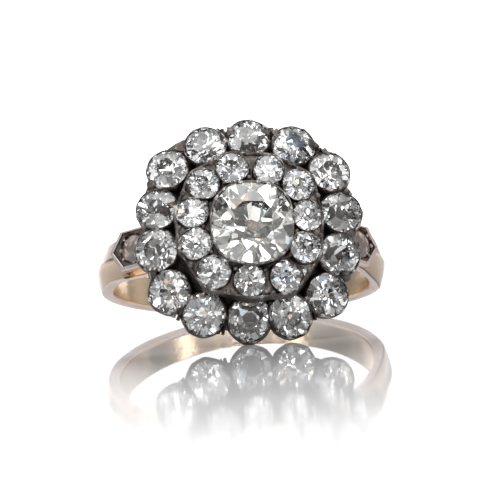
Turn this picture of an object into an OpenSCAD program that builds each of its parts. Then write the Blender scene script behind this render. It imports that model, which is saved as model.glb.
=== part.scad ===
// Antique cluster ring lying on its side.
// Inside the modules the ring has its own axes: x across the head, y along the
// finger (up in the head's face), z out of the finger hole through the head.
// rest() then lays the finished ring down. Lengths in millimetres, angles in degrees.

/* [Hoop] */
// Diameter of the finger hole
finger_d = 17.5; // [16.5:0.1:18.5]
// Thickness of the hoop at its back
back_t = 1.05; // [1:0.05:1.2]
// Thickness of the hoop at its widest, beside the finger
side_t = 1.13; // [1:0.01:1.2]
// Reach of the hoop below its middle, at its back
back_low = 0.83; // [0.75:0.01:1]
// Reach of the hoop above its middle, at its back
back_high = 1.15; // [0.8:0.05:1.2]
// Reach of the hoop below its middle, beside the finger
side_low = 1.3; // [1.2:0.05:1.35]
// Reach of the hoop above its middle, beside the finger
side_high = 1.45; // [1.3:0.05:1.5]
// Width of the hoop where it meets the shoulders
shoulder_w = 2.8; // [2.7:0.05:3]
// Reach of the ledge below the left bezel
ledge_low = 1.75; // [1.5:0.05:1.9]
// Fall of the hoop's lower outer face from its middle ridge
ridge_low = 0.28; // [0.2:0.01:0.4]
// Fall of the hoop's upper outer face from its middle ridge
ridge_high = 0.34; // [0.2:0.01:0.4]

/* [Shoulder bezels] */
// Angle from the head's axis to the middle of a shoulder bezel
bezel_turn = 48; // [46:0.5:50]
// Distance from the finger axis to the bezel's face
bezel_reach = 10.05; // [10:0.05:10.2]
// Length of the hexagon, along the hoop
bezel_len = 4.78; // [4.5:0.02:4.9]
// Width of the hexagon, along the finger
bezel_w = 2.74; // [2.6:0.02:2.8]
// How far the hexagon's corners sit back from its points
bezel_point = 1.05; // [0.9:0.05:1.2]
// Shift of the hexagon away from the head
bezel_shift = 0.11; // [0:0.01:0.2]
// Shift of the hexagon towards the hoop's upper side
bezel_y = 0.08; // [0:0.01:0.12]
// Length of the hexagonal cup
cup_len = 4.12; // [3.9:0.02:4.2]
// Width of the hexagonal cup
cup_w = 2.3; // [2.2:0.02:2.34]
// Shift of the cup towards the hoop's upper side
cup_y = 0.15; // [0.08:0.01:0.16]
// Depth of the hexagonal cup
cup_depth = 1.05; // [1:0.05:1.1]

/* [Gallery] */
// Height of the flat under the head, from the finger axis
flat_n = 9.45; // [9.4:0.05:9.5]
// Outer radius of the gallery wall at its foot
gallery_foot_r = 4.95; // [4.8:0.05:5.1]
// Outer radius of the gallery wall at its top
gallery_top_r = 5.7; // [5.5:0.05:5.9]
// Thickness of the gallery wall
gallery_t = 0.65; // [0.5:0.05:0.8]

/* [Head levels] */
// Underside of the silver head, from the finger axis
head_n = 10.104; // [10.05:0.01:10.2]
// Girdle level of the outer row
outer_n = 11.56; // [11.4:0.02:11.7]
// Girdle level of the inner row
inner_n = 13.24; // [13.1:0.02:13.4]
// Girdle level of the centre stone
centre_n = 13.75; // [13.6:0.05:13.9]
// Outward lean of the outer row
outer_lean = 19.6; // [18:0.5:22]
// Outward lean of the inner row
inner_lean = 10.5; // [9:0.1:12]
// Turn of the head against the hoop
head_turn = 1.3; // [0:0.1:3]
// Offset of the head along the finger
head_y = -0.1; // [-0.3:0.05:0.3]

/* [Stones] */
// Width of the centre stone
centre_w = 5.4; // [5.2:0.05:5.6]
// Length of the centre stone, along the finger
centre_l = 5.55; // [5.4:0.05:5.7]
// Squareness of the centre stone's outline, 2 is round
centre_square = 2.5; // [2.3:0.1:3]
// Offset of the centre stone across and along the finger
centre_at = [0.09, -0.07];
// Gap between a stone and its metal
stone_gap = 0.04; // [0.03:0.005:0.05]

/* [Silver] */
// Rim around an outer stone
outer_rim = 0.193; // [0.17:0.002:0.24]
// Rim around an inner stone
inner_rim = 0.133; // [0.1:0.002:0.16]
// Thickness of the upper tier's upright rim
tier_rim_t = 0.212; // [0.16:0.002:0.24]
// Across a claw between two outer stones
claw_d = 0.763; // [0.7:0.002:0.9]

/* [Resting] */
// Lean of the finger axis back from upright
rest_tilt = 18.751; // [17:0.01:21]
// Roll about the head's axis, as the ring settles on one scallop
rest_roll = 3.2; // [0:0.01:10]
// Height of the finger hole's centre over the surface
rest_up = 3.904; // [3.5:0.01:5]
// Shift that centres the ring over its footprint
rest_y = 2.553; // [1:0.05:4]

/* [Hidden] */
// Outer row, clockwise from the top of the head. Columns:
// turn, distance from the middle, width across, length outward, table size, twist of the cut
AZ = 0; FAR = 1; WIDE = 2; LONG = 3; TABLE = 4; TWIST = 5;
OUTER = [
    [0.0, 6.30, 2.78, 2.84, 0.46, 8],
    [27.5, 6.58, 2.78, 2.84, 0.44, -6],
    [53.5, 6.76, 2.70, 2.76, 0.42, 14],
    [79.0, 6.30, 2.66, 2.84, 0.48, 3],
    [106.0, 6.24, 2.74, 2.76, 0.40, 11],
    [131.0, 6.86, 2.70, 2.80, 0.43, -9],
    [155.5, 6.48, 2.66, 2.94, 0.47, 6],
    [180.5, 6.16, 2.74, 2.98, 0.45, -3],
    [208.0, 6.58, 2.74, 2.84, 0.42, 9],
    [231.5, 6.86, 2.68, 2.80, 0.44, 17],
    [257.0, 6.38, 2.70, 2.84, 0.52, -4],
    [283.0, 6.30, 2.66, 2.76, 0.41, 12],
    [307.5, 6.86, 2.60, 2.70, 0.45, -7],
    [333.5, 6.48, 2.70, 2.76, 0.50, 5]
];
// Inner row, clockwise, same columns
INNER = [
    [343.0, 4.00, 2.06, 2.14, 0.44,   5],
    [ 19.0, 3.92, 1.90, 2.08, 0.46,  12],
    [ 50.5, 4.20, 2.04, 2.04, 0.42,  -8],
    [ 82.0, 3.86, 2.00, 1.90, 0.45,   3],
    [114.0, 4.00, 2.04, 2.04, 0.48,  10],
    [147.5, 4.34, 1.92, 2.08, 0.41,  -5],
    [181.0, 3.92, 1.94, 2.10, 0.44,  14],
    [216.5, 4.14, 2.14, 2.18, 0.46,  -2],
    [249.5, 3.92, 2.02, 2.06, 0.43,   7],
    [281.0, 3.92, 1.92, 2.06, 0.45,  16],
    [311.0, 4.14, 2.02, 2.14, 0.42,  -6]
];
// Shoulder stones, left then right. Columns: shift from the hexagon's middle, width, length
SHOULDER = [
    [0.30, 1.96, 2.15],
    [0.55, 1.92, 2.30]
];

finger_r = finger_d / 2;
hoop_rise = side_t - back_t;
hoop_out = finger_r + side_t;
gap = 0.03;

function sgn(v) = v < 0 ? -1 : 1;
// Radius of a rounded square of half sizes 1, at angle t, squareness p
function sq_r(t, p) = 1 / pow(pow(abs(cos(t)), p) + pow(abs(sin(t)), p), 1 / p);
// Outline of a stone: half width a, half length b, squareness p, n points, scale k, height z
function ring_pts(n, a, b, p, k, z, turn) = [
    for (i = [0:n - 1]) let (t = turn + i * 360 / n, r = sq_r(t, p) * k)
        [a * r * cos(t), b * r * sin(t), z]
];
function outline(n, a, b, p) = [
    for (i = [0:n - 1]) let (t = i * 360 / n, r = sq_r(t, p)) [a * r * cos(t), b * r * sin(t)]
];

// Old-cut brilliant, girdle plane at z = 0.
// Rows of points: table 8, crown points 8, girdle above 16, girdle below 16, pavilion points 8, culet 8
CROWN = 0.17; PAVILION = 0.42; GIRDLE = 0.012; CULET = 0.10;
function cut_pts(a, b, p, tb, deep) = let (
    d = 2 * min(a, b), hc = d * CROWN, hp = d * deep, g = d * GIRDLE,
    c8 = cos(22.5), rc = 0.58 + 0.36 * tb, rp = 0.52,
    zc = g + (hc - g) * (1 - rc * c8) / (1 - tb),
    zp = -g - (hp - g) * (1 - rp * c8) / (1 - CULET * c8))
    concat(
        ring_pts(8, a, b, p, tb, hc, 22.5),
        ring_pts(8, a, b, p, rc, zc, 0),
        ring_pts(16, a, b, p, 1, g, 0),
        ring_pts(16, a, b, p, 1, -g, 0),
        ring_pts(8, a, b, p, rp, zp, 0),
        ring_pts(8, a, b, p, CULET, -hp, 0));
function m8(i) = (i + 8) % 8;
function m16(i) = (i + 16) % 16;
// T table, C crown points, G and L girdle, P pavilion points, U culet
CUT_FACES = concat(
    [for (i = [1:6]) [0, i + 1, i]],
    [for (k = [0:7]) [m8(k - 1), k, 8 + k]],
    [for (k = [0:7]) [k, 8 + m8(k + 1), 16 + m16(2 * k + 1)]],
    [for (k = [0:7]) [k, 16 + m16(2 * k + 1), 8 + k]],
    [for (k = [0:7]) [8 + k, 16 + m16(2 * k + 1), 16 + 2 * k]],
    [for (k = [0:7]) [8 + k, 16 + 2 * k, 16 + m16(2 * k - 1)]],
    [for (j = [0:15]) [16 + j, 16 + m16(j + 1), 32 + m16(j + 1)]],
    [for (j = [0:15]) [16 + j, 32 + m16(j + 1), 32 + j]],
    [for (k = [0:7]) [48 + k, 32 + 2 * k, 32 + m16(2 * k + 1)]],
    [for (k = [0:7]) [48 + k, 32 + m16(2 * k - 1), 32 + 2 * k]],
    [for (k = [0:7]) [48 + k, 32 + m16(2 * k + 1), 56 + k]],
    [for (k = [0:7]) [56 + k, 32 + m16(2 * k + 1), 56 + m8(k + 1)]],
    [for (k = [0:7]) [56 + m8(k + 1), 32 + m16(2 * k + 1), 48 + m8(k + 1)]],
    [for (i = [1:6]) [56, 56 + i, 56 + i + 1]]
);
module cut_stone(w, l, p, tb, deep = PAVILION) {
    polyhedron(cut_pts(w / 2, l / 2, p, tb, deep), CUT_FACES, convexity = 2);
}

// Carry a child to a stone's seat: turn clockwise from the top, distance, level, outward lean
module at_seat(turn, far, level, lean) {
    rotate([0, 0, -turn]) translate([0, far, level]) rotate([-lean, 0, 0]) children();
}
// Carry a child to a shoulder bezel, side 1 is right, -1 is left. z is out of the bezel's face,
// x along the hoop away from the head
module at_bezel(side) {
    mirror([side < 0 ? 1 : 0, 0, 0]) rotate([0, bezel_turn, 0]) translate([0, 0, bezel_reach]) children();
}
// Solid through levels of one rounded outline. Each level is [size, height], from bottom to top
module levels(a, b, p, n, rows) {
    polyhedron(
        [for (r = rows) each ring_pts(n, a, b, p, r[0], r[1], 0)],
        concat(
            [[for (i = [0:n - 1]) i]],
            [for (k = [0:len(rows) - 2], i = [0:n - 1]) [k * n + i, (k + 1) * n + i, (k + 1) * n + (i + 1) % n]],
            [for (k = [0:len(rows) - 2], i = [0:n - 1]) [k * n + i, (k + 1) * n + (i + 1) % n, k * n + (i + 1) % n]],
            [[for (i = [n - 1:-1:0]) (len(rows) - 1) * n + i]]),
        convexity = 4);
}
module hexagon(len, w, point) {
    polygon([[len / 2, 0], [len / 2 - point, w / 2], [-len / 2 + point, w / 2],
             [-len / 2, 0], [-len / 2 + point, -w / 2], [len / 2 - point, -w / 2]]);
}
// Lay the ring down as it rests
module rest() {
    translate([0, rest_y, rest_up]) rotate([90 - rest_tilt, 0, 0]) rotate([0, 0, -rest_roll]) children();
}

// ---- gold ----
// Across the hoop: two flat faces that meet in a ridge. After the turn, +Y here is the lower side
module hoop_section() {
    polygon([[finger_r - 1, 3], [hoop_out - 3 * ridge_low, 3], [hoop_out, 0],
             [hoop_out - 3 * ridge_high, -3], [finger_r - 1, -3]]);
}
module hoop() {
    intersection() {
        translate([0, 0, hoop_rise]) rotate([90, 0, 0])
            rotate_extrude($fn = 120) intersection() {
                hoop_section();
                translate([finger_r - 0.4, -2]) square([side_t + 0.4, 4]);
            }
        // side view: narrow at the back, wide at the shoulders, flat under the head
        rotate([90, 0, 90]) linear_extrude(40, center = true)
            polygon([[-back_low, -12], [back_high, -12], [back_high, -finger_r], [side_high, -1],
                     [shoulder_w / 2, 4], [shoulder_w / 2, flat_n], [-side_low, flat_n],
                     [-side_low, 6], [-shoulder_w / 2 + 0.02, 3], [-side_low, -1], [-back_low, -finger_r]]);
    }
}
module ledge() {
    // the left shoulder reaches further down than the right
    intersection() {
        translate([0, 0, hoop_rise]) rotate([90, 0, 0])
            rotate_extrude($fn = 120) intersection() {
                hoop_section();
                translate([finger_r - 0.4, 0]) square([side_t + 0.4, 2]);
            }
        rotate([90, 0, 90]) translate([0, 0, -12]) linear_extrude(12 - 4.2)
            polygon([[0.5, 2.5], [0.5, flat_n], [-ledge_low, flat_n], [-ledge_low, 6], [-shoulder_w / 2 + 0.02, 3], [-1, 2.5]]);
    }
}
module bezel_body(side) {
    at_bezel(side) translate([bezel_shift, bezel_y, -2.2]) linear_extrude(2.2) hexagon(bezel_len, bezel_w, bezel_point);
}
module bezel_cup(side) {
    at_bezel(side) translate([bezel_shift, cup_y, -cup_depth]) linear_extrude(cup_depth + 1)
        hexagon(cup_len, cup_w, bezel_point - 0.1);
}
module bridge() {
    // the hoop's closed part under the head
    intersection() {
        rotate([90, 0, 0]) cylinder(h = 2 * side_low, r = hoop_out, center = true, $fn = 120);
        translate([-5.6, -5, 5]) cube([11.2, 10, flat_n - 5]);
    }
}
module gallery() {
    // a flared wall clear of the finger hole, on two feet that stand on the hoop
    low = finger_r + 0.05;
    difference() {
        translate([0, 0, low]) cylinder(h = head_n - gap - low, r1 = gallery_foot_r, r2 = gallery_top_r, $fn = 96);
        translate([0, 0, low - 0.1]) cylinder(h = head_n - low + 0.2, r1 = gallery_foot_r - gallery_t, r2 = gallery_top_r - gallery_t, $fn = 96);
    }
    for (side = [-1, 1]) translate([side * (gallery_foot_r - gallery_t / 2) - 0.35, -1.1, low - 0.7]) cube([0.7, 2.2, 1]);
}
module shank() {
    color("#d9b98e") rest() difference() {
        union() {
            hoop();
            ledge();
            bezel_body(1);
            bezel_body(-1);
            bridge();
            gallery();
        }
        rotate([90, 0, 0]) cylinder(h = 30, r = finger_r, center = true, $fn = 120);
        bezel_cup(1);
        bezel_cup(-1);
    }
}

// ---- silver shoulder linings ----
module lining(side) {
    s = SHOULDER[side < 0 ? 0 : 1];
    at_bezel(side) translate([bezel_shift, cup_y, 0]) difference() {
        translate([0, 0, -cup_depth + gap]) linear_extrude(cup_depth - gap - 0.12)
            hexagon(cup_len - 2 * gap, cup_w - 2 * gap, bezel_point - 0.1);
        translate([s[0], 0, -0.42]) scale([s[2] / s[1], 1, 1]) cylinder(h = 0.6, r1 = s[1] / 2 + 0.03, r2 = s[1] / 2 + 0.11, $fn = 32);
        translate([s[0], 0, -0.95]) scale([s[2] / s[1], 1, 1]) cylinder(h = 0.54, r1 = 0.45, r2 = s[1] / 2 + 0.03, $fn = 32);
    }
}

// ---- silver head ----
module collet(w, l, rim, depth, foot, sides) {
    // a turned cup, foot is the bottom's size against the rim's
    r = l / 2 + rim;
    scale([(w / 2 + rim) / r, 1, 1]) rotate_extrude($fn = sides)
        polygon([[0, -depth], [r * foot, -depth], [r + 0.02, -0.5], [r + 0.04, -0.22], [r - 0.09, 0.07], [0, 0.07]]);
}
module seat_cut(w, l, depth, sides) {
    g = stone_gap;
    hc = CROWN * min(w, l); hp = PAVILION * min(w, l);
    // crown, girdle, pavilion and the open back, as one turned shape
    scale([(w + 2 * g) / (l + 2 * g), 1, 1]) rotate_extrude($fn = sides)
        polygon([[0, hc + 0.05], [l * 0.32, hc + 0.05], [l / 2 + g, 0.05], [l / 2 + g, -0.05],
                 [l * 0.27, -0.62 * hp], [l * 0.27, -depth - 0.8], [0, -depth - 0.8]]);
}
module lower_tier() {
    for (s = OUTER) at_seat(s[AZ], s[FAR], outer_n, outer_lean) collet(s[WIDE], s[LONG], outer_rim, 1.4, 0.6, 16);
    // base ring on the gallery
    difference() {
        translate([0, 0, head_n]) cylinder(h = 0.7, r1 = gallery_top_r + 0.1, r2 = gallery_top_r + 0.45, $fn = 28);
        translate([0, 0, head_n - 1]) cylinder(h = 3, r = 4.1, $fn = 20);
    }
    // web between the rows
    difference() {
        translate([0, 0, outer_n - 0.47]) linear_extrude(0.33) polygon(outline(24, 6.24, 6.34, 2.5));
        translate([0, 0, head_n - 1]) cylinder(h = 4, r = 3.8, $fn = 20);
    }
    // drum that carries the upper tier
    difference() {
        translate([0, 0, head_n + 0.28]) cylinder(h = 2.24, r = 4.43, $fn = 28);
        translate([0, 0, head_n]) cylinder(h = 3, r = 3.96, $fn = 20);
    }
    // claws between neighbours
    for (i = [0:len(OUTER) - 1]) let (
        s = OUTER[i], n = OUTER[(i + 1) % len(OUTER)],
        turn = s[AZ] + (n[AZ] + (n[AZ] < s[AZ] ? 360 : 0) - s[AZ]) / 2,
        far = (s[FAR] + n[FAR]) / 2 + 0.63)
        rotate([0, 0, -turn]) hull() {
            translate([0, far, outer_n - 0.1]) sphere(d = claw_d, $fn = 6);
            translate([0, far - 0.65, outer_n - 1.15]) sphere(d = claw_d * 0.8, $fn = 5);
        }
}
module tier_outline(grow) {
    offset(delta = grow) hull() for (s = INNER)
        rotate(-s[AZ]) translate([0, s[FAR]]) scale([s[WIDE] / s[LONG], 1]) circle(s[LONG] / 2, $fn = 12);
}
module inner_collet(w, l) {
    r = l / 2 + inner_rim;
    scale([(w / 2 + inner_rim) / r, 1, 1]) rotate_extrude($fn = 12)
        polygon([[0, -0.93], [r * 0.8, -0.93], [r, -0.42], [r, 0.07], [0, 0.07]]);
}
module upper_tier() {
    for (s = INNER) at_seat(s[AZ], s[FAR], inner_n, inner_lean) inner_collet(s[WIDE], s[LONG]);
    // floor and upright rim
    difference() {
        translate([0, 0, inner_n - 1.03]) linear_extrude(0.28) tier_outline(tier_rim_t * 0.75);
        translate([0, 0, inner_n - 2]) cylinder(h = 2, r = 2.05, $fn = 20);
    }
    difference() {
        translate([0, 0, inner_n - 1.03]) linear_extrude(0.89) tier_outline(tier_rim_t * 0.75);
        translate([0, 0, inner_n - 1.1]) linear_extrude(1.1) tier_outline(-tier_rim_t * 0.25);
    }
    // centre collet
    translate([centre_at[0], centre_at[1], centre_n]) levels(centre_w / 2 + 0.12, centre_l / 2 + 0.12, centre_square, 24,
        [[0.84, inner_n - centre_n - 0.93], [1, -0.3], [1, 0.06]]);
}
module centre_cut() {
    g = stone_gap;
    hc = CROWN * centre_w; hp = PAVILION * centre_w;
    translate([centre_at[0], centre_at[1], centre_n]) levels(centre_w / 2 + g, centre_l / 2 + g, centre_square, 24,
        [[0.64, head_n - centre_n - 1], [0.64, -0.5 * hp], [1, -0.12], [1, 0.1], [0.66, hc + 0.1]]);
}
// The head turned and set on the hoop
module on_hoop() {
    translate([0, head_y, 0]) rotate([0, 0, -head_turn]) children();
}
module cluster_setting() {
    color("#77726f") rest() on_hoop() difference() {
        union() {
            lower_tier();
            upper_tier();
        }
        for (s = OUTER) at_seat(s[AZ], s[FAR], outer_n, outer_lean) seat_cut(s[WIDE], s[LONG], 1.4, 16);
        for (s = INNER) at_seat(s[AZ], s[FAR], inner_n, inner_lean) seat_cut(s[WIDE], s[LONG], 0.93, 16);
        centre_cut();
        // flush underside
        translate([-12, -12, head_n - 5]) cube([24, 24, 5]);
    }
}

// ---- stones ----
module outer_stone(i) {
    s = OUTER[i - 1];
    color("#e9eef2") rest() on_hoop() at_seat(s[AZ], s[FAR], outer_n, outer_lean)
        rotate([0, 0, s[TWIST]]) cut_stone(s[WIDE], s[LONG], 2, s[TABLE]);
}
module inner_stone(i) {
    s = INNER[i - 1];
    color("#eef1f3") rest() on_hoop() at_seat(s[AZ], s[FAR], inner_n, inner_lean)
        rotate([0, 0, s[TWIST]]) cut_stone(s[WIDE], s[LONG], 2, s[TABLE]);
}
module centre_stone() {
    color("#f1f3e4") rest() on_hoop() translate([centre_at[0], centre_at[1], centre_n]) cut_stone(centre_w, centre_l, centre_square, 0.5);
}
module shoulder_stone(side) {
    s = SHOULDER[side < 0 ? 0 : 1];
    color("#e6dfd8") rest() at_bezel(side) translate([bezel_shift + s[0], cup_y, -0.34]) cut_stone(s[2], s[1], 2, 0.4, 0.26);
}

shank();
cluster_setting();
color("#6f6a67") rest() lining(-1);  // shoulder_lining_left
color("#6f6a67") rest() lining(1);  // shoulder_lining_right
centre_stone();
inner_stone(1);  // inner_stone_01
inner_stone(2);  // inner_stone_02
inner_stone(3);  // inner_stone_03
inner_stone(4);  // inner_stone_04
inner_stone(5);  // inner_stone_05
inner_stone(6);  // inner_stone_06
inner_stone(7);  // inner_stone_07
inner_stone(8);  // inner_stone_08
inner_stone(9);  // inner_stone_09
inner_stone(10);  // inner_stone_10
inner_stone(11);  // inner_stone_11
outer_stone(1);  // outer_stone_01
outer_stone(2);  // outer_stone_02
outer_stone(3);  // outer_stone_03
outer_stone(4);  // outer_stone_04
outer_stone(5);  // outer_stone_05
outer_stone(6);  // outer_stone_06
outer_stone(7);  // outer_stone_07
outer_stone(8);  // outer_stone_08
outer_stone(9);  // outer_stone_09
outer_stone(10);  // outer_stone_10
outer_stone(11);  // outer_stone_11
outer_stone(12);  // outer_stone_12
outer_stone(13);  // outer_stone_13
outer_stone(14);  // outer_stone_14
shoulder_stone(-1);  // shoulder_stone_left
shoulder_stone(1);  // shoulder_stone_right
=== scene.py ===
import math
import random

import bmesh
import bpy
import numpy as np
from mathutils import Matrix, Vector, noise


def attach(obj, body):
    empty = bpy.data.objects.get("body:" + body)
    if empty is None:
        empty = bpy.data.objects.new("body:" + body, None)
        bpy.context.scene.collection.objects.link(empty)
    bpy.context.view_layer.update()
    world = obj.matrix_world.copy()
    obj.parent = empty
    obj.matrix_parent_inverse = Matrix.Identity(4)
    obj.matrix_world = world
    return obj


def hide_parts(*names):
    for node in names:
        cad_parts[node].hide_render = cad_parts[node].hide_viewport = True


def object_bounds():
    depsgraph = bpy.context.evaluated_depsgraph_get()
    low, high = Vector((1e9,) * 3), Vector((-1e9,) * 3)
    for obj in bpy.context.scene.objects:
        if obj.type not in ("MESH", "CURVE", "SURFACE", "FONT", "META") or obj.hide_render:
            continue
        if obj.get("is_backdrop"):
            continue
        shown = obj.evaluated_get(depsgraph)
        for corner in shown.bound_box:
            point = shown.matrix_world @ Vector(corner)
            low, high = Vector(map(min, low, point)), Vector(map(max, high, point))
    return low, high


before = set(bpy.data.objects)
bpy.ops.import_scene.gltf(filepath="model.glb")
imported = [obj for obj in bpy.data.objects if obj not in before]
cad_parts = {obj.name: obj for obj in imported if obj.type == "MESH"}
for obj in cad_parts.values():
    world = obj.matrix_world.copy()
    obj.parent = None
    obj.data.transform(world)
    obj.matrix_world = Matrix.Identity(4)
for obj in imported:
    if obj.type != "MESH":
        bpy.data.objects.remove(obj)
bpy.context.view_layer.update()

scene = bpy.context.scene
MM = 0.001


# ------------------------------------------------------------------ places
def turn(axis, degrees):
    return Matrix.Rotation(math.radians(degrees), 4, axis)


def move(x, y, z):
    return Matrix.Translation((x, y, z))


# The same named sizes as the construction, in millimetres
FINGER_R = 8.75
HOOP_OUT, HOOP_RISE = 9.88, 0.08
CROWN_R, RIDGE_LOW, RIDGE_HIGH = 2.35, 0.28, 0.34
FLAT_N = 9.45
BEZEL_TURN, BEZEL_REACH = 48.0, 10.05
BEZEL_LEN, BEZEL_W, BEZEL_POINT, BEZEL_SHIFT, BEZEL_Y = 4.78, 2.74, 1.05, 0.11, 0.08
CUP_LEN, CUP_W, CUP_Y = 4.12, 2.30, 0.15
HEAD_N, OUTER_N, INNER_N, CENTRE_N = 10.104, 11.56, 13.24, 13.75
OUTER_LEAN, INNER_LEAN = 19.6, 10.5
CENTRE_W, CENTRE_L, CENTRE_P, CENTRE_AT = 5.4, 5.55, 2.5, (0.09, -0.07)
CROWN, PAVILION, GIRDLE, CULET = 0.17, 0.42, 0.012, 0.10

REST = move(0, 2.553, 3.904) @ turn("X", 90 - 18.751) @ turn("Z", -3.2)
HEAD = REST @ move(0, -0.1, 0) @ turn("Z", -1.3)

# columns: turn, distance, width across, length outward, table, twist
AZ, FAR, WIDE, LONG, TABLE, TWIST = range(6)
OUTER = [
    (0.0, 6.30, 2.78, 2.84, 0.46, 8), (27.5, 6.58, 2.78, 2.84, 0.44, -6),
    (53.5, 6.76, 2.70, 2.76, 0.42, 14), (79.0, 6.30, 2.66, 2.84, 0.48, 3),
    (106.0, 6.24, 2.74, 2.76, 0.40, 11), (131.0, 6.86, 2.70, 2.80, 0.43, -9),
    (155.5, 6.48, 2.66, 2.94, 0.47, 6), (180.5, 6.16, 2.74, 2.98, 0.45, -3),
    (208.0, 6.58, 2.74, 2.84, 0.42, 9), (231.5, 6.86, 2.68, 2.80, 0.44, 17),
    (257.0, 6.38, 2.70, 2.84, 0.52, -4), (283.0, 6.30, 2.66, 2.76, 0.41, 12),
    (307.5, 6.86, 2.60, 2.70, 0.45, -7), (333.5, 6.48, 2.70, 2.76, 0.50, 5),
]
INNER = [
    (343.0, 4.00, 2.06, 2.14, 0.44, 5), (19.0, 3.92, 1.90, 2.08, 0.46, 12),
    (50.5, 4.20, 2.04, 2.04, 0.42, -8), (82.0, 3.86, 2.00, 1.90, 0.45, 3),
    (114.0, 4.00, 2.04, 2.04, 0.48, 10), (147.5, 4.34, 1.92, 2.08, 0.41, -5),
    (181.0, 3.92, 1.94, 2.10, 0.44, 14), (216.5, 4.14, 2.14, 2.18, 0.46, -2),
    (249.5, 3.92, 2.02, 2.06, 0.43, 7), (281.0, 3.92, 1.92, 2.06, 0.45, 16),
    (311.0, 4.14, 2.02, 2.14, 0.42, -6),
]
SHOULDER = [(0.30, 1.96, 2.15), (0.55, 1.92, 2.30)]
# The cut stones fill their collets a little further than the plain ones
SPREAD = [0.03] * 6 + [0.01] * 4 + [0.03] * 4


def seat(base, angle, far, level, lean):
    return base @ turn("Z", -angle) @ move(0, far, level) @ turn("X", -lean)


def bezel_frame(side):
    flip = Matrix.Scale(-1, 4, (1, 0, 0)) if side < 0 else Matrix.Identity(4)
    return REST @ flip @ turn("Y", BEZEL_TURN) @ move(0, 0, BEZEL_REACH)


# ------------------------------------------------------------------ meshes
class Shape:
    """Closed shells gathered into one mesh, with a value at each point: wear above zero, painted shade on the gold
    below zero.
    """

    def __init__(self):
        self.points, self.faces, self.wear_and_shade = [], [], []

    def add(self, points, faces, place=None, wear_and_shade=0.0):
        first = len(self.points)
        mirrored = place is not None and place.determinant() < 0
        for p in points:
            self.points.append(place @ Vector(p) if place is not None else Vector(p))
        for f in faces:
            f = [first + i for i in f]
            self.faces.append(f[::-1] if mirrored else f)
        self.wear_and_shade.extend(wear_and_shade if hasattr(wear_and_shade, "__len__") else [wear_and_shade] * len(points))

    def make(self, name, material, sharp=32, smooth=True, wobble=0.0, wobble_size=1.0):
        mesh = bpy.data.meshes.new(name)
        points = self.points
        if wobble:
            moved = []
            for p in points:
                w = noise.noise_vector(p * wobble_size)
                moved.append(p + w * wobble)
            points = moved
        mesh.from_pydata([tuple(p * MM) for p in points], [], self.faces)
        mesh.update()
        wear_and_shade = mesh.attributes.new("wear_and_shade", "FLOAT", "POINT")
        wear_and_shade.data.foreach_set("value", np.array(self.wear_and_shade, np.float32))
        if smooth:
            mesh.shade_smooth()
            mesh.set_sharp_from_angle(angle=math.radians(sharp))
        mesh.materials.append(material)
        piece = bpy.data.objects.new(name, mesh)
        scene.collection.objects.link(piece)
        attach(piece, "root")
        return piece


def loft(rings, closed_along=False, caps=True):
    """Faces of a tube through equal closed rings, outward when rings run up and points run anticlockwise."""
    n, k = len(rings[0]), len(rings)
    points = [p for r in rings for p in r]
    faces = []
    for j in range(k if closed_along else k - 1):
        a, b = j * n, ((j + 1) % k) * n
        for i in range(n):
            m = (i + 1) % n
            faces.append((a + i, a + m, b + m, b + i))
    if not closed_along and caps:
        faces.append(tuple(range(n - 1, -1, -1)))
        faces.append(tuple((k - 1) * n + i for i in range(n)))
    return points, faces


def outline(a, b, p, angle, grow=0.0):
    c, s = math.cos(angle), math.sin(angle)
    r = 1 / (abs(c) ** p + abs(s) ** p) ** (1 / p)
    return (a * r + grow) * c, (b * r + grow) * s


# ------------------------------------------------------------------ stones
def cut(bm, at, normal):
    geometry = bm.verts[:] + bm.edges[:] + bm.faces[:]
    result = bmesh.ops.bisect_plane(bm, geom=geometry, dist=1e-6, plane_co=at, plane_no=normal, clear_outer=True)
    edges = [e for e in result["geom_cut"] if isinstance(e, bmesh.types.BMEdge)]
    if len(edges) > 2:
        bmesh.ops.contextual_create(bm, geom=edges)


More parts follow.
